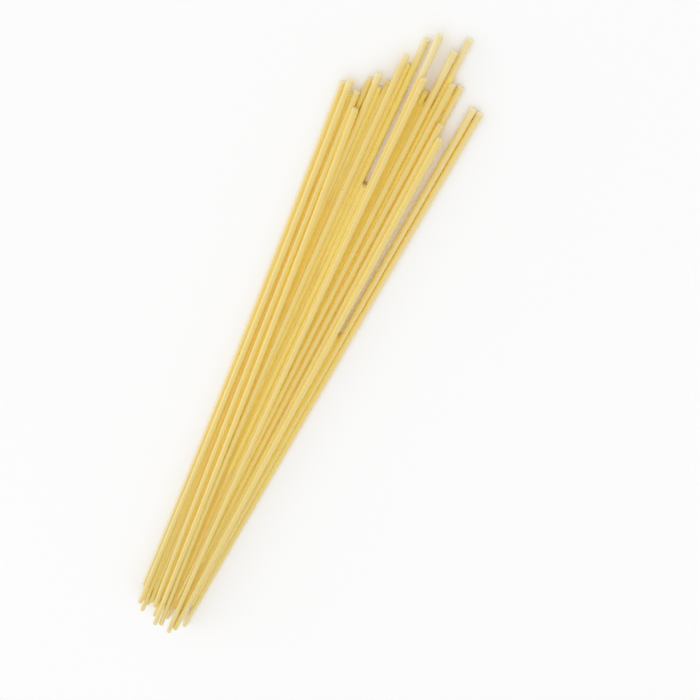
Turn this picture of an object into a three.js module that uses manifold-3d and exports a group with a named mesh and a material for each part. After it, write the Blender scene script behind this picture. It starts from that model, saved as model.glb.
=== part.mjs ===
// A loose bundle of dry spaghetti lying on a table, the strands all but straight and most of them about 250 mm long.
// +X runs along the bundle towards the end that fans out, -X towards the tight end, +Z is up and the table is z = 0.
// The origin is the middle of the bundle's footprint. Millimetres.
//
// The bundle is one solid: a thin core inside, with all the strands fused on at their true size. Each strand is laid
// down in turn and comes to rest on the ones that lie under it, so that the heights follow from the places.
import * as THREE from 'three';
import Module from 'manifold-3d';
import { mergeVertices } from 'three/addons/utils/BufferGeometryUtils.js';

const wasm = await Module();
wasm.setup();

// ---- driving dimensions ----
const STRAND_D = 1.9; // across a dry strand
const SIDES = 12; // flats on a strand, one of them facing down
const BEDDED = 0.97; // two resting strands lie this share of a diameter apart, so that they fuse
const NEAR_X = 110; // station near the fanned end at which a strand's place is given
const FAR_X = -125; // station near the tight end at which it is given
const MAX_CUT_TILT = 12; // degrees that a cut end may be off square
const BOW_STEPS = 4; // straight lengths that make a bowed strand
const LAY_STATIONS = 120; // stations at which a strand is tried against the ones below
const SLIVER = 0.01; // ridges and slivers finer than this are smoothed off where strands meet

const CORE_NEAR_X = 84; // the core's ends
const CORE_FAR_X = -117;
const CORE_STEPS = 4;
const CORE_BOTTOM = 0.95; // up to the middle of the lowest strands
const CORE_TOP = 1.9; // up to the tops of the lowest strands, so that it only shows as the floor of a valley

const FOOT_MIDDLE = new THREE.Vector2(0.485, -0.348); // middle of the bundle's footprint in the frame of STRANDS

// One strand a row, the lowest first: place across the bundle at NEAR_X and at FAR_X, how far its middle bows to +Y,
// and where its two ends are along the bundle.
const STRANDS = {
  left_6: [11.7, 6.9, 0, 117.8, -136.9],
  low_middle: [-5.0, -3.0, 0.2, 104, -139.3],
  long_12: [2.45, 1.2, 0, 135.5, -120],
  left_8: [8.75, 4.3, 0, 116.6, -133],
  low_right: [-14.3, -7.3, 0, 30, -124],
  left_7: [9.8, 5.7, 0, 121, -132.6],
  apart_2: [-18.3, -10.95, 0.15, 123.7, -138.5],
  right_3: [-3.0, -0.9, 0.3, 122.2, -134],
  left_9: [6.7, 2.8, 0, 119.5, -129.2],
  left_edge: [17.95, 10.85, -0.7, 113, -126.8],
  right_7: [-10.7, -6.4, 0, 128, -127.5],
  left_3: [15.0, 7.8, 0, 110.8, -140],
  short_13: [0.85, -0.5, 0, 87, -80],
  left_11: [4.3, 1.9, 0, 126.7, -137.5],
  long_5: [-7.1, -4.4, 0, 141, -116.5],
  left_2: [16.1, 9.4, -0.8, 115.5, -133.7],
  long_1: [-0.6, -3.35, 0, 139.2, -98],
  apart_1: [-16.2, -9.25, 0.2, 124.2, -123.2],
  right_4: [-5.2, -3.6, 0, 136.7, -119],
  right_9: [-10.7, -7.4, 0.15, 116.3, -136],
  right_10: [-12.35, -8.15, 0, 112.8, -136],
  right_6: [-8.4, -5.6, 0.4, 128.2, -94],
  left_4: [13.4, 3.3, 0.3, 112.9, -129.5],
  top_10: [5.4, -1.4, 1.45, 129.6, -138],
  top_2: [-1.5, -5.75, 0.7, 126.8, -138.8],
  top_5: [11.9, 0.6, -0.5, 108.8, -138.4],
};

const RADIUS = STRAND_D / 2;
const lerp = THREE.MathUtils.lerp;
const strands = Object.values(STRANDS).map(([near, far, bow, tip, tail]) => ({ near, far, bow, tip, tail }));

/** Place across the bundle at x: the straight line between the two given places, plus the bow. */
function across(strand, x) {
  const t = (x - FAR_X) / (NEAR_X - FAR_X);
  return lerp(strand.far, strand.near, t) + strand.bow * 4 * t * (1 - t);
}

/** Height of a strand's centre line at x, once it is laid. */
const height = (strand, x) => strand.rise + strand.slope * x;

/**
 * Lays one strand down over those already laid. At each station it has to clear the table and every strand that it
 * crosses there. A rigid strand then rests on two of those stations, one on each side of its middle: the pair whose
 * straight line passes highest at the middle.
 */
function lay(strand, laid) {
  const apart = STRAND_D * BEDDED;
  const stations = Array.from({ length: LAY_STATIONS }, (_, i) => {
    const x = lerp(strand.tail, strand.tip, i / (LAY_STATIONS - 1));
    let z = RADIUS;
    for (const other of laid) {
      const gap = Math.abs(across(strand, x) - across(other, x));
      if (x < other.tail || x > other.tip || gap >= apart) continue;
      z = Math.max(z, height(other, x) + Math.sqrt(apart ** 2 - gap ** 2));
    }
    return { x, z };
  });
  const middle = (strand.tail + strand.tip) / 2;
  let highest = -Infinity;
  for (const a of stations.filter((s) => s.x <= middle)) {
    for (const b of stations.filter((s) => s.x > middle)) {
      const slope = (b.z - a.z) / (b.x - a.x);
      const z = a.z + slope * (middle - a.x);
      if (z > highest) {
        highest = z;
        strand.slope = slope;
        strand.rise = a.z - slope * a.x;
      }
    }
  }
}

/** A number from -1 to 1 that is always the same for the same strand and end. */
function uneven(i, end) {
  const v = Math.sin((i + 1) * 12.9898 + end * 78.233) * 43758.5453;
  return 2 * (v - Math.floor(v)) - 1;
}

/** An outline drawn in (across, up) and carried along the bundle, each corner then moved by place(u, v, t). */
function carried(outline, steps, place) {
  const geometry = new THREE.ExtrudeGeometry(outline, { depth: 1, steps, bevelEnabled: false });
  const corners = geometry.attributes.position;
  const corner = new THREE.Vector3();
  for (let i = 0; i < corners.count; i += 1) {
    corner.fromBufferAttribute(corners, i);
    corners.setXYZ(i, ...place(corner.x, corner.y, corner.z));
  }
  return solid(geometry);
}

/** A closed three.js geometry as a solid that can be joined. */
function solid(geometry) {
  geometry.deleteAttribute('normal');
  geometry.deleteAttribute('uv');
  const merged = mergeVertices(geometry, 1e-4);
  return new wasm.Manifold(new wasm.Mesh({
    numProp: 3,
    vertProperties: new Float32Array(merged.attributes.position.array),
    triVerts: new Uint32Array(merged.index.array),
  }));
}

/** A strand's section: regular, the flats touching a circle of the strand's radius, one flat facing down. */
function sectionOutline() {
  const corner = RADIUS / Math.cos(Math.PI / SIDES);
  const points = Array.from({ length: SIDES }, (_, i) => {
    const a = ((i + 0.5) / SIDES) * 2 * Math.PI;
    return new THREE.Vector2(corner * Math.cos(a), corner * Math.sin(a));
  });
  return new THREE.Shape(points);
}

function strandSolid(strand, i) {
  const tilt = [-1, 1].map((end) => Math.tan(THREE.MathUtils.degToRad(MAX_CUT_TILT * uneven(i, end))));
  return carried(sectionOutline(), strand.bow ? BOW_STEPS : 1, (u, v, t) => {
    const cut = lerp(tilt[0], tilt[1], t) * (t < 1e-6 || t > 1 - 1e-6 ? u : 0);
    const x = lerp(strand.tail, strand.tip, t) + cut;
    return [x - FOOT_MIDDLE.x, across(strand, x) + u - FOOT_MIDDLE.y, height(strand, x) + v];
  });
}

/** The core: a low slab that fills the bundle inside, from the left edge strand to the right one of the main group. */
function coreSolid(left, right) {
  const outline = new THREE.Shape([[0, 0], [1, 0], [1, 1], [0, 1]].map(([u, v]) => new THREE.Vector2(u, v)));
  return carried(outline, CORE_STEPS, (u, v, t) => {
    const x = lerp(CORE_FAR_X, CORE_NEAR_X, t);
    const y = lerp(across(right, x), across(left, x), u);
    return [x - FOOT_MIDDLE.x, y - FOOT_MIDDLE.y, lerp(CORE_BOTTOM, CORE_TOP, v)];
  });
}

const laid = [];
for (const strand of strands) {
  lay(strand, laid);
  laid.push(strand);
}
const named = Object.fromEntries(Object.keys(STRANDS).map((name, i) => [name, strands[i]]));

let joined = coreSolid(named.left_edge, named.right_7);
strands.forEach((strand, i) => { joined = joined.add(strandSolid(strand, i)); });
// The outer skin alone is kept, so that a pocket closed in between the strands is filled.
const whole = joined.decompose().sort((a, b) => b.volume() - a.volume())[0].simplify(SLIVER);

const skin = whole.getMesh();
const geometry = new THREE.BufferGeometry();
geometry.setAttribute('position', new THREE.BufferAttribute(new Float32Array(skin.vertProperties), 3));
geometry.setIndex(new THREE.BufferAttribute(new Uint32Array(skin.triVerts), 1));
geometry.computeVertexNormals();

const dryPasta = new THREE.MeshStandardMaterial({ color: 0xe8c878, roughness: 0.5, metalness: 0 });
const bundle = new THREE.Mesh(geometry, dryPasta);
bundle.name = 'spaghetti_bundle';

const part = new THREE.Group();
part.add(bundle);

export default part;
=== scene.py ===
"""A loose bundle of dry spaghetti, tight at one end and fanned out at the other, lying on a pale table."""

import bpy
import numpy as np
from bpy.props import FloatProperty, FloatVectorProperty, IntProperty, PointerProperty
from bpy.types import Operator, Panel, PropertyGroup
from mathutils import Matrix


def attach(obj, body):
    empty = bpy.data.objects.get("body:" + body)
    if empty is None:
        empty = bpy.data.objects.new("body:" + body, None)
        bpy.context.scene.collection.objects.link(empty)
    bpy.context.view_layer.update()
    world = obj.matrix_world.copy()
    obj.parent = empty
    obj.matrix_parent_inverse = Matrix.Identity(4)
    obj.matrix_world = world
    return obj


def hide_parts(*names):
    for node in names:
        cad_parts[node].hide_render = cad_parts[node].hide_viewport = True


bl_info = {
    "name": "Dry spaghetti bundle",
    "version": (1, 0, 0),
    "blender": (4, 5, 0),
    "location": "3D View > Sidebar > Spaghetti",
    "description": "Lays a bundle of dry spaghetti on a pale table",
    "category": "Object",
}

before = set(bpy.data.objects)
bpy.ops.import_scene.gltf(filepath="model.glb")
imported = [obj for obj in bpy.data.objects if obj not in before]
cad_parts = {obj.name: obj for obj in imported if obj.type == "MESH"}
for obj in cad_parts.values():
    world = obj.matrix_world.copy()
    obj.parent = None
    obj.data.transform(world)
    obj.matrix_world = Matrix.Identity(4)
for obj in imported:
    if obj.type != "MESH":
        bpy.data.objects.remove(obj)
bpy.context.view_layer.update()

MM = 0.001
NODE = "spaghetti_bundle"
BODY = "root"

# The bundle's own plan, in millimetres: +X runs towards the fanned end and z = 0 is the table.
NEAR_X, FAR_X = 110.0, -125.0  # the two stations at which a strand's place across the bundle is given
FOOT_MIDDLE = (0.485, -0.348)  # middle of the footprint in the frame of STRANDS
CORE_BOTTOM = 0.03  # the core's underside, just clear of the table
BEDDED = 0.97  # two resting strands lie this share of a diameter apart
LAY_STATIONS = 120  # places along a strand at which it is held against the strands laid before it

# One strand a row, in the order in which they are laid down: its place across at NEAR_X and at FAR_X, how
# far its middle bows to +Y, and where its two ends are along the bundle.
STRANDS = {
    "left_6": (11.7, 6.9, 0, 117.8, -136.9),
    "low_middle": (-5.0, -3.0, 0.2, 104, -139.3),
    "long_12": (2.45, 1.2, 0, 135.5, -120),
    "left_8": (8.75, 4.3, 0, 116.6, -133),
    "low_right": (-14.3, -7.3, 0, 30, -124),
    "left_7": (9.8, 5.7, 0, 121, -132.6),
    "apart_2": (-18.3, -10.95, 0.15, 123.7, -138.5),
    "right_3": (-3.0, -0.9, 0.3, 122.2, -134),
    "left_9": (6.7, 2.8, 0, 119.5, -129.2),
    "left_edge": (17.95, 10.85, -0.7, 113, -126.8),
    "right_7": (-10.7, -6.4, 0, 128, -127.5),
    "left_3": (15.0, 7.8, 0, 110.8, -140),
    "short_13": (0.85, -0.5, 0, 87, -80),
    "left_11": (4.3, 1.9, 0, 126.7, -137.5),
    "long_5": (-7.1, -4.4, 0, 141, -116.5),
    "left_2": (16.1, 9.4, -0.8, 115.5, -133.7),
    "long_1": (-0.6, -3.35, 0, 139.2, -98),
    "apart_1": (-16.2, -9.25, 0.2, 124.2, -123.2),
    "right_4": (-5.2, -3.6, 0, 136.7, -119),
    "right_9": (-10.7, -7.4, 0.15, 116.3, -136),
    "right_10": (-12.35, -8.15, 0, 112.8, -136),
    "right_6": (-8.4, -5.6, 0.4, 128.2, -94),
    "left_4": (13.4, 3.3, 0.3, 112.9, -129.5),
    "top_10": (5.4, -1.4, 1.45, 129.6, -138),
    "top_2": (-1.5, -5.75, 0.7, 126.8, -138.8),
    "top_5": (11.9, 0.6, -0.5, 108.8, -138.4),
}

# The core fills the bundle inside in these stretches: from one strand across to another, and from x to x.
CORES = (
    ("left_edge", "long_12", -126.0, 108.0),
    ("left_7", "left_9", 106.0, 115.5),
    ("long_12", "long_1", -129.0, 87.2),
    ("long_1", "right_7", -129.0, 120.0),
    ("right_6", "right_7", 118.0, 126.0),
    ("right_7", "right_10", -127.0, 110.0),
    ("right_10", "apart_1", -118.0, 33.0),
    ("apart_1", "apart_2", -118.0, 121.0),
)
SHOULDER = 0.6  # a strand carries the core level over this share of its radius

# A strand up close, in millimetres.
EDGE_ANGLES = (0.0, 30.0, 60.0, 90.0)  # degrees turned at the rings round the worn edge of an end
FACE_SHARES = (0.62, 0.3)  # radii of the rings on an end face, as shares of the strand's
EDGE_CUT = 0.4  # how much of a cut end's look the first ring of the worn edge has
CROWDING = 0.035  # how far rings are moved towards the ends, as a share of the strand's length
WAVES = (31.0, 12.0, 5.3)  # lengths of the slow waves in a strand's thickness
OVAL = 0.012  # how far a section is out of round, as a share of its radius
END_REACH = 3.0  # how far along a strand its cut's tilt and its chip are felt
CHIP_DEPTH = 0.35  # most that a chip takes off an end
CHIP_COSINE = 0.55  # cosine of the angle that a chip spans to either side of its middle
ROUGH_WAVES = 4
ROUGH_HEIGHT = 0.012  # of each of the waves on an end face
ROUGH_TURN = (2.0, 7.0)  # least and most that such a wave turns in a millimetre, in radians
STRAND_SEED, TONE_SEED = 11, 23
SCATTER = (12.9898, 78.233, 43758.5453)  # they have no meaning: large and unround ones scatter well

# The finish of the dry pasta, with painted shade in the crevices between strands and painted light on strands
# that lie alone.
TONES = (-0.5, 0.6)  # least and most of a strand's own tone, higher for paler
GRAIN_APART = 9.7  # how many millimetres across the grain of each strand is moved on from the one before
GRAIN_AHEAD = 31.0  # how many times as far it is moved along
OPEN_SWEEP = 85.0  # degrees to either side of a heading within which openness looks
OPEN_RAYS = 13  # directions in which it looks there
COMPANY = 1.35  # distance in diameters over which another strand's company falls to 1 / e
# Painted light: strands that lie alone and open are painted in the pale colour.
LONE_LIGHT_COVER = 0.75  # how far the pale colour covers a strand that stands quite alone
TIGHT_COVER = 0.12  # how far the tight end's colour covers the others, from TIGHT_X on
TIGHT_X = -120.0  # it fades in up to there from x = 0, in millimetres
CELLS = 0.55  # cells a millimetre, each with at most one speck and one fleck
FLECK_COVER = 0.55  # how far a pale fleck covers what is under it
SPECK_COVER = 0.8  # the same for a bran speck
CUT_COVER = 0.85  # the same for the colour of a cut end

# The stage.
LAMP_SIZE = (2.8, 1.2)  # metres
LAMP_PLACE = (-1.4, 2.36, 0.5)  # metres
LIGHT_BOUNCES = 24  # pale strands pass light on many times
MOTTLE = 1.015  # the lightest spots of the table are so many times as light as the darkest
VIEW_ELEVATION, VIEW_ROLL = 50.0, 27.9  # degrees
VIEW_AIM = (28.9, -17.6)  # the spot on the table in the middle of the view, placed as STRANDS are
VIEW_DISTANCE = 395.3  # millimetres from there
SENSOR_WIDTH = 36.0
FOCAL_PIXELS, FRAME_PIXELS = 1250.0, 700.0  # focal length and side of the frame, in pixels


# ---------------------------------------------------------------- sizes and colours

def length(name, description, default, low, high):
    """A property for a length, given in millimetres."""
    return FloatProperty(
        name=name, description=description, default=default * MM, min=low * MM, max=high * MM,
        unit="LENGTH", precision=5)


def share(name, description, default, high):
    """A property for a share from 0 up to high."""
    return FloatProperty(
        name=name, description=description, default=default, min=0.0, max=high, subtype="FACTOR")


def colour(name, description, default):
    """A property for a colour."""
    return FloatVectorProperty(name=name, description=description, default=default, size=3, subtype="COLOR")


class StrandSizes(PropertyGroup):
    diameter: length("Diameter", "Across one dry strand", 1.9, 1.0, 3.0)
    thickness_spread: share(
        "Thickness spread", "How much thicker or thinner one strand is than another", 0.03, 0.1)
    unevenness: share("Unevenness", "How much a strand's thickness changes along its length", 0.012, 0.1)
    edge_round: length("End edge", "Radius of the worn edge round a cut end", 0.12, 0.0, 0.4)
    cut_tilt: FloatProperty(
        name="Cut tilt", description="Most that a cut end is off square",
        default=np.radians(12.0), min=0.0, max=np.radians(30.0), subtype="ANGLE")
    sides: IntProperty(name="Sides", description="Points round a strand", default=28, min=8, max=48)
    stations: IntProperty(name="Stations", description="Rings along a strand", default=64, min=8, max=200)


class CoreSizes(PropertyGroup):
    sunk: length("Sunk", "How far the core stays under the middle line of the strands", 0.05, 0.0, 0.9)
    fall: FloatProperty(
        name="Fall", description="How steeply the core falls away from a strand into a gap",
        default=0.8, min=0.1, max=9.0)
    lift: share("Lift", "How far up from the lower to the higher side of a groove its bottom lies", 0.3, 0.5)
    floor: length("Floor", "Least height of the core, which closes the gaps to the table", 0.6, 0.1, 2.0)
    taper: length(
        "Taper", "Length over which the core falls away at its ends and past a strand's", 2.0, 1.0, 40.0)
    stations: IntProperty(name="Stations", description="Rings along the core", default=150, min=8, max=300)
    columns: IntProperty(
        name="Columns", description="Points across one stretch of the core", default=72, min=8, max=200)


class PastaColours(PropertyGroup):
    body: colour("Body", "Colour of the strands in the open", (0.79, 0.597, 0.17))
    # Painted shade: the strands go to this deeper golden colour where they crowd together and little is open
    # round them.
    crevice_shade: colour("Golden", "Colour of the strands where they crowd together", (1.0, 0.84, 0.198))
    # Painted shade: the core shows only in the grooves between strands, so its colours are the shade there,
    # more orange than the strands, and more golden where the groove is narrow.
    groove: colour("Groove", "Colour of the core where a wide groove shows it", (0.80, 0.55, 0.122))
    narrow_groove_shade: colour(
        "Narrow groove", "Colour of the core where a narrow groove shows it", (1.0, 0.785, 0.167))
    dull: colour("Dull", "Colour that the strands tend to at their tight end", (0.42, 0.44, 0.17))
    # Pale is painted light on strands that lie alone and open, and also the colour of the grain of cut ends.
    pale: colour("Pale", "Colour of strands that stand away from the others", (0.83, 0.71, 0.38))
    cut: colour("Cut end", "Colour of a freshly broken end and of the pale flecks", (0.92, 0.86, 0.60))
    bran: colour("Bran", "Colour of the few brown specks", (0.36, 0.17, 0.06))


class StageSettings(PropertyGroup):
    floor: colour("Table", "Colour of the table", (0.94, 0.94, 0.94))
    floor_size: FloatProperty(
        name="Table size", description="Side of the table", default=6.0, min=1.0, unit="LENGTH")
    key_power: FloatProperty(
        name="Key light", description="Power of the main lamp in watts", default=15.5, min=0.0)
    fill_light: FloatProperty(
        name="Room light", description="Strength of the light all round", default=1.0, min=0.0)


# ---------------------------------------------------------------- how the strands lie

class Lying:
    """Where every strand is, in millimetres, as arrays with one entry a strand."""

    def __init__(self, diameter):
        near, far, bow, tip, tail = np.array(list(STRANDS.values()), float).T
        self.near, self.far, self.bow, self.tip, self.tail = near, far, bow, tip, tail
        self.radius = diameter / 2
        self.count = len(near)
        self.rise = np.zeros(self.count)
        self.slope = np.zeros(self.count)
        for i in range(self.count):
            self.rise[i], self.slope[i] = self.rest(i)

    def across(self, i, x):
        """Straight line between the two given places, plus bow * 4t(1 - t): t is 0 at FAR_X, 1 at NEAR_X."""
        t = (x - FAR_X) / (NEAR_X - FAR_X)
        return self.far[i] + (self.near[i] - self.far[i]) * t + self.bow[i] * 4 * t * (1 - t)

    def height(self, i, x):
        """rise + slope * x."""
        return self.rise[i] + self.slope[i] * x

    def there(self, i, x):
        """Whether strand i is there at x, between its ends."""
        return (x > self.tail[i]) & (x < self.tip[i])

    def rest(self, i):
        """Lays strand i over the strands before it.

        At each station it has to clear the table and each strand j that it crosses there, which takes
        height j + sqrt(apart^2 - gap^2). It rests on two stations, one on each side of its middle: the pair
        whose straight line passes highest at the middle.
        """
        apart = 2 * self.radius * BEDDED
        x = np.linspace(self.tail[i], self.tip[i], LAY_STATIONS)
        z = np.full(LAY_STATIONS, self.radius)
        for j in range(i):
            gap = np.abs(self.across(i, x) - self.across(j, x))
            on = (x >= self.tail[j]) & (x <= self.tip[j]) & (gap < apart)
            clear = self.height(j, x) + np.sqrt(np.maximum(apart ** 2 - gap ** 2, 0))
            z = np.where(on, np.maximum(z, clear), z)
        middle = (self.tail[i] + self.tip[i]) / 2
        left = x <= middle
        xa, za = x[left][:, None], z[left][:, None]
        xb, zb = x[~left][None, :], z[~left][None, :]
        slope = (zb - za) / (xb - xa)
        at_middle = za + slope * (middle - xa)
        a, b = np.unravel_index(np.argmax(at_middle), at_middle.shape)
        return za[a, 0] - slope[a, b] * xa[a, 0], slope[a, b]


def uneven(i, end):
    """A number from -1 to 1 that looks random and is always the same for strand i and this end, -1 or 1.

    It is twice the fraction of sin((i + 1) * SCATTER[0] + end * SCATTER[1]) * SCATTER[2], less 1.
    """
    v = np.sin((i + 1) * SCATTER[0] + end * SCATTER[1]) * SCATTER[2]
    return 2 * (v - np.floor(v)) - 1


# ---------------------------------------------------------------- strands

def end_profile(radius, edge):
    """Rings from the side of a strand over its worn edge to the middle of its end.

    Each ring is (inset from the end, share of the radius). Round the edge it turns through an angle a, where
    inset = edge * (1 - sin a) and the radius is less by edge * (1 - cos a). The end face is flat.
    """
    a = np.radians(EDGE_ANGLES)
    inset = np.concatenate([edge * (1 - np.sin(a)), np.zeros(len(FACE_SHARES))])
    share_of_radius = np.concatenate([1 - edge * (1 - np.cos(a)) / radius, FACE_SHARES])
    return inset, share_of_radius


class StrandRings:
    """The rings of every strand from its tail to its tip, in millimetres.

    along is the distance from the tail and x the place along the bundle, both (strand, ring). Each ring has
    its share of the radius and a number cut, 0 on the strand's side and 1 on its end faces. near_tail and
    near_tip fall evenly from 1 at that end to 0 at END_REACH from it. The points of a ring stand at angle.
    """

    def __init__(self, lying, sizes):
        inset, ring_share = end_profile(lying.radius, sizes.edge_round / MM)
        length_of = (lying.tip - lying.tail)[:, None]
        t = np.linspace(0, 1, sizes.stations)
        t = t - CROWDING * np.sin(2 * np.pi * t)
        tail_end = np.broadcast_to(inset[:0:-1], (lying.count, len(inset) - 1))
        side = inset[0] + t * (length_of - 2 * inset[0])
        self.along = np.concatenate([tail_end, side, length_of - inset[1:]], axis=1)
        self.x = lying.tail[:, None] + self.along
        self.share = np.concatenate([ring_share[:0:-1], np.ones(sizes.stations), ring_share[1:]])
        end_cut = [EDGE_CUT] + [1.0] * (len(inset) - 2)
        self.cut = np.concatenate([end_cut[::-1], np.zeros(sizes.stations), end_cut])
        self.near_tail = np.clip(1 - self.along / END_REACH, 0, 1)[:, :, None]
        self.near_tip = np.clip(1 - (length_of - self.along) / END_REACH, 0, 1)[:, :, None]
        self.angle = np.linspace(0, 2 * np.pi, sizes.sides, endpoint=False)


def end_push(rng, rings, u, v, most_tilt):
    """How far along x the cut moves each point of the strands, whose place in the section is (u, v).

    A cut is off square by tan(most_tilt) * uneven * u * near. At about every second end a chip comes off one
    side: depth * share^2 * near^2 * (cos(angle from its middle) - CHIP_COSINE) / (1 - CHIP_COSINE), where
    that is over 0. Waves sin(au + bv + c) roughen the end face by up to a twentieth of a millimetre.
    """
    strand = np.arange(len(u))[:, None, None]
    push = np.zeros_like(u)
    for end, near in ((-1, rings.near_tail), (1, rings.near_tip)):
        push += np.tan(most_tilt) * uneven(strand, end) * near * u
        middle = rng.uniform(0, 2 * np.pi, strand.shape)
        depth = rng.uniform(0.0, CHIP_DEPTH, strand.shape) * rng.integers(0, 2, strand.shape)
        chip = np.clip(np.cos(rings.angle - middle) - CHIP_COSINE, 0, 1) / (1 - CHIP_COSINE)
        push -= end * depth * chip * rings.share[:, None] ** 2 * near ** 2
    rough = np.zeros_like(u)
    for _ in range(ROUGH_WAVES):
        a, b, c = rng.uniform(*ROUGH_TURN, 3)
        rough += np.sin(a * u + b * v + strand * c)
    return push + ROUGH_HEIGHT * rough * rings.cut[:, None]


def strand_surfaces(lying, rings, sizes):
    """All strands as tubes of rings: points (strand, ring, side, 3), in millimetres.

    A ring at x is centred on (across(x), height(x)). Its radius is R * share * thick * oval, where thick is
    1 + the strand's own difference + slow waves along x, and oval is 1 + OVAL * cos(2 angle + phase). Then
    end_push moves it along x.
    """
    rng = np.random.default_rng(STRAND_SEED)
    thick = 1 + sizes.thickness_spread * rng.uniform(-1, 1, (lying.count, 1))
    for wave in WAVES:
        phase = rng.uniform(0, 2 * np.pi, (lying.count, 1))
        thick = thick + sizes.unevenness / 2 * np.sin(2 * np.pi * rings.x / wave + phase)
    oval = 1 + OVAL * np.cos(2 * rings.angle + rng.uniform(0, 2 * np.pi, (lying.count, 1, 1)))
    r = lying.radius * (rings.share * thick)[:, :, None] * oval
    u, v = r * np.cos(rings.angle), r * np.sin(rings.angle)
    strand = np.arange(lying.count)[:, None]
    x = rings.x[:, :, None] + end_push(rng, rings, u, v, sizes.cut_tilt)
    y = lying.across(strand, rings.x)[:, :, None] + u
    z = lying.height(strand, rings.x)[:, :, None] + v
    return np.stack([x, y, z], axis=-1)


# The finish paints shade where this is low: it stands for the light that crowding strands hold off.
def openness(lying, x, y, z, heading, own=None):
    """How openly each spot of each ring lies, 0 to 1: x is one a ring, and y, z and heading are (ring, spot).

    It is taken in the bundle's cross-section at x. From the spot, directions up to OPEN_SWEEP to either side
    of its heading are tried against the circles of the strands other than its own. It is the share of them
    that meets none, each weighted by its cosine.
    """
    turn = np.radians(np.linspace(-OPEN_SWEEP, OPEN_SWEEP, OPEN_RAYS))
    weight = np.cos(turn) / np.cos(turn).sum()
    aim_y, aim_z = np.cos(heading[:, :, None] + turn), np.sin(heading[:, :, None] + turn)
    met = np.zeros(aim_y.shape, bool)
    for j in range(lying.count):
        there = lying.there(j, x)
        if j == own or not there.any():
            continue
        to_y = (lying.across(j, x)[:, None] - y)[:, :, None]
        to_z = (lying.height(j, x)[:, None] - z)[:, :, None]
        ahead = to_y * aim_y + to_z * aim_z
        beside = np.abs(to_y * aim_z - to_z * aim_y)
        met |= there[:, None, None] & (ahead > 0) & (beside < lying.radius)
    return (~met * weight).sum(axis=-1)


# The finish paints light, in the pale colour, where this is high.
def standing_away(lying, i, x):
    """1 - the sum over the other strands of exp(-(distance / COMPANY diameters)^2) at each x, at least 0."""
    company = np.zeros(len(x))
    for j in range(lying.count):
        apart = np.hypot(lying.across(j, x) - lying.across(i, x), lying.height(j, x) - lying.height(i, x))
        nearness = np.exp(-(apart / (COMPANY * 2 * lying.radius)) ** 2)
        company += np.where(lying.there(j, x) & (i != j), nearness, 0)
    return np.clip(1 - company, 0, 1)


# ---------------------------------------------------------------- core

def core_surfaces(lying, sizes):
    """The core's stretches as tubes of rings: points (stretch, ring, side, 3), in millimetres.

    A ring runs over the top from its left strand to its right one, then back along its underside. Each strand
    offers a top that lies `sunk` under its middle line and, past its shoulder, falls away to both sides as
    fall * distance. At y the highest offers from the left and from the right are taken, and the top lies
    `lift` of the way from the lower of the two to the higher one, which makes a soft groove between two
    strands. Over the taper past a strand's end its offer sinks evenly, and over the taper before the core's
    own end the whole top sinks to the underside as the square of the way gone.
    """
    sunk, floor, taper = (v / MM for v in (sizes.sunk, sizes.floor, sizes.taper))
    shoulder = SHOULDER * lying.radius
    names = list(STRANDS)
    columns = sizes.columns
    points = np.empty((len(CORES), sizes.stations, columns + 2, 3))
    for k, (left, right, tail, tip) in enumerate(CORES):
        x = np.linspace(tail, tip, sizes.stations)
        y_left, y_right = (lying.across(names.index(name), x)[:, None] for name in (left, right))
        y = y_left + (y_right - y_left) * np.linspace(0, 1, columns)
        from_left, from_right = np.full_like(y, floor), np.full_like(y, floor)
        for i in range(lying.count):
            past = np.clip((x - lying.tip[i]) / taper, 0, 1) + np.clip((lying.tail[i] - x) / taper, 0, 1)
            level = ((lying.height(i, x) - sunk) * (1 - past))[:, None]
            aside = lying.across(i, x)[:, None] - y
            offer = level - sizes.fall * np.maximum(np.abs(aside) - shoulder, 0)
            from_left = np.maximum(from_left, np.where(aside > -shoulder, offer, 0))
            from_right = np.maximum(from_right, np.where(aside < shoulder, offer, 0))
        lower, higher = np.minimum(from_left, from_right), np.maximum(from_left, from_right)
        top = lower + sizes.lift * (higher - lower)
        gone = np.clip(1 - (tip - x) / taper, 0, 1) + np.clip(1 - (x - tail) / taper, 0, 1)
        points[k, :, :, 0] = x[:, None]
        points[k, :, :columns, 1] = y
        points[k, :, :columns, 2] = CORE_BOTTOM + (top - CORE_BOTTOM) * (1 - gone[:, None] ** 2)
        points[k, :, columns:, 1] = np.concatenate([y_right, y_left], axis=1)
        points[k, :, columns:, 2] = CORE_BOTTOM
    return points


# ---------------------------------------------------------------- meshes

def vertex_rows(on_rings):
    """One row a vertex, from an array (tube, ring, side), or (tube, ring, side, 3) for places and vectors.

    After the rings of all tubes come the middles of each tube's two ends, with the mean of the end's ring.
    """
    on_ends = on_rings[:, (0, -1)].mean(axis=2)
    width = on_rings.shape[3:]
    return np.concatenate([on_rings.reshape(-1, *width), on_ends.reshape(-1, *width)])


def tube_faces(count, rings, sides):
    """Faces of closed tubes between their rings, and of the two fans that shut each tube, facing out.

    They go by the order of vertex_rows.
    """
    here = np.arange(count * rings * sides).reshape(count, rings, sides)
    after = np.roll(here, -1, axis=2)
    middle = here.size + np.arange(2 * count).reshape(count, 2, 1)
    quads = np.stack([here[:, 1:], after[:, 1:], after[:, :-1], here[:, :-1]], axis=-1)
    tail = np.stack(np.broadcast_arrays(here[:, 0], after[:, 0], middle[:, 0]), axis=-1)
    tip = np.stack(np.broadcast_arrays(after[:, -1], here[:, -1], middle[:, 1]), axis=-1)
    return quads.reshape(-1, 4), np.concatenate([tail, tip], axis=1).reshape(-1, 3)


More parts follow.
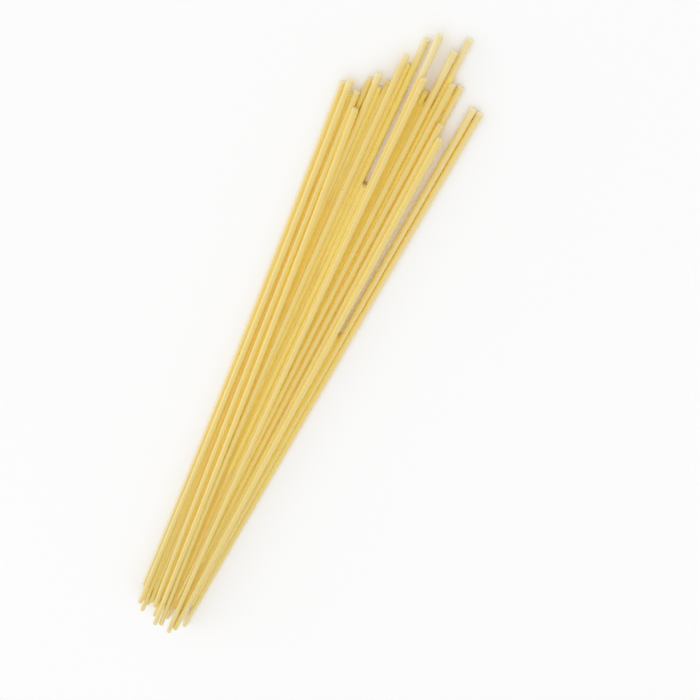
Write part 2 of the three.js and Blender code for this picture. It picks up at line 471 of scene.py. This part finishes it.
def make_piece(name, points, quads, triangles):
    """A mesh object from arrays of points (n, 3) in metres and of faces with four corners and with three."""
    mesh = bpy.data.meshes.new(name)
    corners = np.concatenate([quads.ravel(), triangles.ravel()]).astype(np.int32)
    sizes = np.concatenate([np.full(len(quads), 4), np.full(len(triangles), 3)]).astype(np.int32)
    mesh.vertices.add(len(points))
    mesh.vertices.foreach_set("co", points.astype(np.float32).ravel())
    mesh.loops.add(len(corners))
    mesh.loops.foreach_set("vertex_index", corners)
    mesh.polygons.add(len(sizes))
    mesh.polygons.foreach_set("loop_start", (np.cumsum(sizes) - sizes).astype(np.int32))
    mesh.polygons.foreach_set("use_smooth", np.ones(len(sizes), bool))
    mesh.update(calc_edges=True)
    mesh.validate()
    piece = bpy.data.objects.new(name, mesh)
    bpy.context.scene.collection.objects.link(piece)
    return piece


def make_tubes(name, points):
    """A mesh object of closed tubes, from points (tube, ring, side, 3) in millimetres, placed as STRANDS are.

    The middle of the footprint comes to the origin, and nothing reaches under the table.
    """
    rows = vertex_rows(points)
    rows[:, :2] -= FOOT_MIDDLE
    rows[:, 2] = np.maximum(rows[:, 2], 0.0)
    return make_piece(name, rows * MM, *tube_faces(*points.shape[:3]))


def add_attribute(piece, name, on_rings):
    """Stores a number or a vector a vertex, from an array as vertex_rows takes it."""
    values = vertex_rows(on_rings)
    kind, field = ("FLOAT", "value") if values.ndim == 1 else ("FLOAT_VECTOR", "vector")
    layer = piece.data.attributes.new(name, kind, "POINT")
    layer.data.foreach_set(field, values.astype(np.float32).ravel())


# ---------------------------------------------------------------- materials

class Value:
    """A socket that takes part in sums: each operator adds the Math node for it."""

    def __init__(self, shader, socket):
        self.shader, self.socket = shader, socket

    def _math(self, operation, *values):
        return self.shader.node("ShaderNodeMath", {"operation": operation}, dict(enumerate(values)))

    def __add__(self, other):
        return self._math("ADD", self, other)

    __radd__ = __add__

    def __sub__(self, other):
        return self._math("SUBTRACT", self, other)

    def __rsub__(self, other):
        return self._math("SUBTRACT", other, self)

    def __mul__(self, other):
        return self._math("MULTIPLY", self, other)

    __rmul__ = __mul__

    def __gt__(self, other):
        return self._math("GREATER_THAN", self, other)


class Shader:
    """Builds one material's nodes."""

    def __init__(self, name):
        self.material = bpy.data.materials.new(name)
        self.material.use_nodes = True
        self.tree = self.material.node_tree
        self.tree.nodes.clear()

    def node(self, kind, settings=None, inputs=None, output=0):
        """Adds a node, sets its settings, then its sockets by number or name, and gives back one output."""
        made = self.tree.nodes.new(kind)
        for key, value in (settings or {}).items():
            setattr(made, key, value)
        for key, value in (inputs or {}).items():
            if isinstance(value, Value):
                self.tree.links.new(value.socket, made.inputs[key])
            else:
                made.inputs[key].default_value = value
        return None if output is None else Value(self, made.outputs[output])

    def smooth(self, value, low, high):
        """0 on low's side, 1 on high's side, an S-curve between."""
        return self.node("ShaderNodeMapRange", {"interpolation_type": "SMOOTHSTEP"},
                         {"Value": value, "From Min": low, "From Max": high})

    def mix(self, factor, a, b):
        """Colour a where factor is 0 and colour b where it is 1."""
        return self.node("ShaderNodeMix", {"data_type": "RGBA"}, {0: factor, 6: a, 7: b}, output=2)

    def surface(self, principled, bump=None):
        """Ends the material in a Principled shader with these sockets and a Bump node with those of bump."""
        if bump:
            principled = {**principled, "Normal": self.node("ShaderNodeBump", None, bump)}
        shader = self.node("ShaderNodeBsdfPrincipled", None, principled)
        self.node("ShaderNodeOutputMaterial", None, {"Surface": shader}, output=None)
        return self.material


def rgba(rgb):
    """A solid colour as a colour socket takes it."""
    return (*rgb, 1.0)


def dry_pasta(name, colours, body, crevice_shade, tight):
    """Satin dry pasta with faint die lines, semolina grain, pale flecks, bran specks and pale cuts.

    It has the colour body in the open and a painted shade, a deeper golden colour, where strands crowd
    together, painted light in the pale colour on strands that lie alone and open, and tends a little to the
    colour tight at the tight end.
    """
    s = Shader(name)
    grain = s.node("ShaderNodeAttribute", {"attribute_name": "grain"}, output="Vector")
    tone, cut, openness_for_painted_light, away = (
        s.node("ShaderNodeAttribute", {"attribute_name": stored}, output="Fac")
        for stored in ("tone", "cut", "open", "away"))

    def noise(scale, detail, rough=0.5, drawn_out=1.0):
        """0 to 1, with about scale lumps a millimetre, longer along the strand for a small drawn_out."""
        stretch = (drawn_out, 1.0, 1.0)
        place = s.node("ShaderNodeVectorMath", {"operation": "MULTIPLY"}, {0: grain, 1: stretch})
        return s.node("ShaderNodeTexNoise", None,
                      {"Vector": place, "Scale": scale, "Detail": detail, "Roughness": rough})

    cloud = noise(scale=0.9, detail=2.0, drawn_out=0.12)
    lines = noise(scale=5.0, detail=1.0, drawn_out=0.01)
    semolina = noise(scale=4.0, detail=3.0, rough=0.6)
    fine = noise(scale=14.0, detail=2.0, rough=0.6)
    speckle = (cloud - 0.5) * 0.5 + (lines - 0.5) * 0.3 + (semolina - 0.5) * 0.3

    # Painted shade: where other strands close a spot in, its colour goes from body to the deeper golden one.
    painted_shade_mask = s.smooth(openness_for_painted_light + speckle * 0.5 + tone * 0.25, low=0.12, high=0.95)
    # Painted light: strands that lie alone and open are painted in the pale colour.
    lone_light_cover = s.smooth(away * openness_for_painted_light + speckle * 0.3, low=0.1, high=0.9) * LONE_LIGHT_COVER
    place = s.node("ShaderNodeTexCoord", output="Object")
    x = s.node("ShaderNodeSeparateXYZ", None, {0: place}, output="X")
    tight_cover = s.smooth(x, low=0.0, high=TIGHT_X * MM) * TIGHT_COVER
    base = s.mix(painted_shade_mask, rgba(crevice_shade), rgba(body))
    base = s.mix(lone_light_cover, base, rgba(colours.pale))
    base = s.mix(tight_cover, base, rgba(tight))

    cell_distance, cell_draw = (
        s.node("ShaderNodeTexVoronoi", {"feature": "F1"}, {"Vector": grain, "Scale": CELLS}, output=output)
        for output in ("Distance", "Color"))

    def spots(channel, part, inner, outer):
        """1 up to inner from a cell's middle and 0 from outer on, in a part of the cells from 0 to 1."""
        draw = s.node("ShaderNodeSeparateColor", None, {0: cell_draw}, output=channel)
        return (1.0 - s.smooth(cell_distance, inner, outer)) * (draw > 1.0 - part)

    specks = spots("Red", part=0.07, inner=0.05, outer=0.11)
    flecks = spots("Green", part=0.14, inner=0.06, outer=0.14)
    base = s.mix(flecks * FLECK_COVER, base, rgba(colours.cut))
    base = s.mix(specks * SPECK_COVER, base, rgba(colours.bran))
    cut_shade = s.mix(semolina, rgba(colours.pale), rgba(colours.cut))
    base = s.mix(cut * CUT_COVER, base, cut_shade)

    roughness = 0.40 + 0.16 * semolina + 0.10 * lines + 0.18 * cut
    relief = lines * 0.6 + semolina * 0.5 + fine * 0.3
    return s.surface({
        "Base Color": base, "Roughness": roughness, "IOR": 1.47, "Specular IOR Level": 0.5,
        "Coat Weight": 1.0, "Coat Roughness": 0.4, "Coat IOR": 1.5,
        "Subsurface Weight": 0.15, "Subsurface Radius": (1.0, 0.62, 0.22), "Subsurface Scale": 1.0 * MM,
    }, bump={"Height": relief, "Strength": 0.35, "Distance": 0.03 * MM})


def pale_table(settings):
    """Matt pale table, very faintly mottled."""
    s = Shader("pale_table")
    place = s.node("ShaderNodeTexCoord", output="Object")
    mottle = s.node("ShaderNodeTexNoise", None, {"Vector": place, "Scale": 3.0, "Detail": 2.0})
    lighter = [min(1.0, v * MOTTLE) for v in settings.floor]
    base = s.mix(mottle, rgba(settings.floor), rgba(lighter))
    return s.surface({"Base Color": base, "Roughness": 0.85, "Specular IOR Level": 0.15})


# ---------------------------------------------------------------- operators

class SPAGHETTI_OT_strands(Operator):
    """Lay all the strands of the bundle and give them their dry pasta finish"""
    bl_idname = "spaghetti.strands"
    bl_label = "Strands"
    bl_options = {"REGISTER", "UNDO"}

    def execute(self, context):
        sizes = context.scene.spaghetti_sizes
        lying = Lying(sizes.diameter / MM)
        rings = StrandRings(lying, sizes)
        points = strand_surfaces(lying, rings, sizes)
        piece = make_tubes("strands", points)

        u, v = lying.radius * np.cos(rings.angle), lying.radius * np.sin(rings.angle)
        offset = (np.arange(lying.count) * GRAIN_APART)[:, None, None]
        along = rings.along[:, :, None] + offset * GRAIN_AHEAD
        add_attribute(piece, "grain", np.stack(np.broadcast_arrays(along, u + offset, v), axis=-1))
        tone = np.random.default_rng(TONE_SEED).uniform(*TONES, lying.count)
        heading = np.broadcast_to(rings.angle, points.shape[1:3])
        # Openness, from which the finish paints shade between strands and light on open ones.
        openness_for_painted_light = np.stack([
            openness(lying, x, lying.across(i, x)[:, None] + u, lying.height(i, x)[:, None] + v,
                     heading, own=i)
            for i, x in enumerate(rings.x)])
        # How alone each strand lies, from which the finish paints light on lone strands.
        away = np.stack([standing_away(lying, i, x) for i, x in enumerate(rings.x)])
        for name, values in (("tone", tone[:, None, None]), ("cut", rings.cut[:, None]),
                             ("open", openness_for_painted_light), ("away", away[:, :, None])):
            add_attribute(piece, name, np.broadcast_to(values, points.shape[:3]))

        colours = context.scene.spaghetti_colours
        piece.data.materials.append(
            dry_pasta("dry_pasta", colours, colours.body, colours.crevice_shade, colours.dull))
        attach(piece, BODY)
        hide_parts(NODE)
        return {"FINISHED"}


class SPAGHETTI_OT_core(Operator):
    """Fill the bundle inside, so that no light falls through between the strands"""
    bl_idname = "spaghetti.core"
    bl_label = "Core"
    bl_options = {"REGISTER", "UNDO"}

    def execute(self, context):
        lying = Lying(context.scene.spaghetti_sizes.diameter / MM)
        points = core_surfaces(lying, context.scene.spaghetti_core)
        piece = make_tubes("core", points)

        add_attribute(piece, "grain", points)
        # Openness of the core, from which its finish paints the narrow grooves a more golden shade.
        straight_up = np.full(points.shape[1:3], np.pi / 2)
        add_attribute(piece, "open", np.stack([
            openness(lying, part[:, 0, 0], part[..., 1], part[..., 2], straight_up) for part in points]))
        for name in ("tone", "cut", "away"):
            add_attribute(piece, name, np.zeros(points.shape[:3]))

        colours = context.scene.spaghetti_colours
        # The core's colours are painted shade of the grooves that show it.
        piece.data.materials.append(
            dry_pasta("pasta_groove_shade", colours, colours.groove, colours.narrow_groove_shade, colours.groove))
        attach(piece, BODY)
        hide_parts(NODE)
        return {"FINISHED"}


class SPAGHETTI_OT_stage(Operator):
    """Set up the pale table, the soft studio light and the camera"""
    bl_idname = "spaghetti.stage"
    bl_label = "Table, light and camera"
    bl_options = {"REGISTER", "UNDO"}

    def execute(self, context):
        scene = context.scene
        settings = scene.spaghetti_stage
        half = settings.floor_size / 2
        corners = np.array([[-half, -half, 0], [half, -half, 0], [half, half, 0], [-half, half, 0]], float)
        table = make_piece("table", corners, np.array([[0, 1, 2, 3]]), np.zeros((0, 3), int))
        table.data.materials.append(pale_table(settings))
        self.light(scene, settings)
        self.camera(scene)
        scene.view_settings.view_transform = "Standard"
        scene.view_settings.look = "None"
        scene.cycles.diffuse_bounces = LIGHT_BOUNCES
        scene.cycles.max_bounces = LIGHT_BOUNCES
        return {"FINISHED"}

    def light(self, scene, settings):
        """A large soft lamp low on the bundle's left, towards its tight end, and even light all round."""
        lamp = bpy.data.lights.new("key", "AREA")
        lamp.shape = "RECTANGLE"
        lamp.size, lamp.size_y = LAMP_SIZE
        lamp.energy = settings.key_power
        key = bpy.data.objects.new("key", lamp)
        scene.collection.objects.link(key)
        key.matrix_world = facing(np.array(LAMP_PLACE), np.zeros(3))
        world = bpy.data.worlds.new("room")
        world.use_nodes = True
        background = world.node_tree.nodes["Background"]
        background.inputs["Color"].default_value = (1.0, 1.0, 1.0, 1.0)
        background.inputs["Strength"].default_value = settings.fill_light
        scene.world = world

    def camera(self, scene):
        """Looks down on the fanned end from beyond it, with the picture's top towards +X, then rolled."""
        elevation, roll = np.radians(VIEW_ELEVATION), np.radians(VIEW_ROLL)
        aim = np.array([*np.subtract(VIEW_AIM, FOOT_MIDDLE), 0.0]) * MM
        back = np.array([np.cos(elevation), 0.0, np.sin(elevation)])
        up = np.array([np.sin(elevation), 0.0, -np.cos(elevation)])
        right = np.array([0.0, -1.0, 0.0])
        data = bpy.data.cameras.new("camera")
        data.sensor_fit = "HORIZONTAL"
        data.sensor_width = SENSOR_WIDTH
        data.lens = SENSOR_WIDTH * FOCAL_PIXELS / FRAME_PIXELS
        data.clip_start = 0.01
        data.clip_end = 50.0
        camera = bpy.data.objects.new("camera", data)
        scene.collection.objects.link(camera)
        camera.matrix_world = placed(
            np.cos(roll) * right + np.sin(roll) * up, np.cos(roll) * up - np.sin(roll) * right, back,
            aim + back * VIEW_DISTANCE * MM)
        scene.camera = camera


def placed(x_axis, y_axis, z_axis, place):
    """A matrix with these three axes as columns, at this place."""
    made = np.eye(4)
    made[:3, :] = np.stack([x_axis, y_axis, z_axis, place], axis=1)
    return Matrix(made.tolist())


def facing(place, target):
    """A matrix at place whose -Z looks at target, for a lamp."""
    z_axis = (place - target) / np.linalg.norm(place - target)
    x_axis = np.cross([0.0, 0.0, 1.0], z_axis)
    x_axis = x_axis / np.linalg.norm(x_axis)
    return placed(x_axis, np.cross(z_axis, x_axis), z_axis, place)


class SPAGHETTI_PT_panel(Panel):
    """Lists the pieces and their sizes and colours"""
    bl_idname = "SPAGHETTI_PT_panel"
    bl_label = "Spaghetti bundle"
    bl_space_type = "VIEW_3D"
    bl_region_type = "UI"
    bl_category = "Spaghetti"

    def draw(self, context):
        for operator in OPERATORS:
            self.layout.operator(operator.bl_idname)
        for group, kind in GROUPS.items():
            box = self.layout.box()
            for name in kind.__annotations__:
                box.prop(getattr(context.scene, group), name)


GROUPS = {
    "spaghetti_sizes": StrandSizes,
    "spaghetti_core": CoreSizes,
    "spaghetti_colours": PastaColours,
    "spaghetti_stage": StageSettings,
}
OPERATORS = (SPAGHETTI_OT_strands, SPAGHETTI_OT_core, SPAGHETTI_OT_stage)
CLASSES = (*GROUPS.values(), *OPERATORS, SPAGHETTI_PT_panel)


def register():
    for item in CLASSES:
        bpy.utils.register_class(item)
    for name, group in GROUPS.items():
        setattr(bpy.types.Scene, name, PointerProperty(type=group))


def unregister():
    for name in GROUPS:
        delattr(bpy.types.Scene, name)
    for item in reversed(CLASSES):
        bpy.utils.unregister_class(item)


def main():
    """Make every piece and the stage."""
    register()
    bpy.ops.spaghetti.strands()
    bpy.ops.spaghetti.core()
    bpy.ops.spaghetti.stage()


if __name__ == "__main__":
    main()
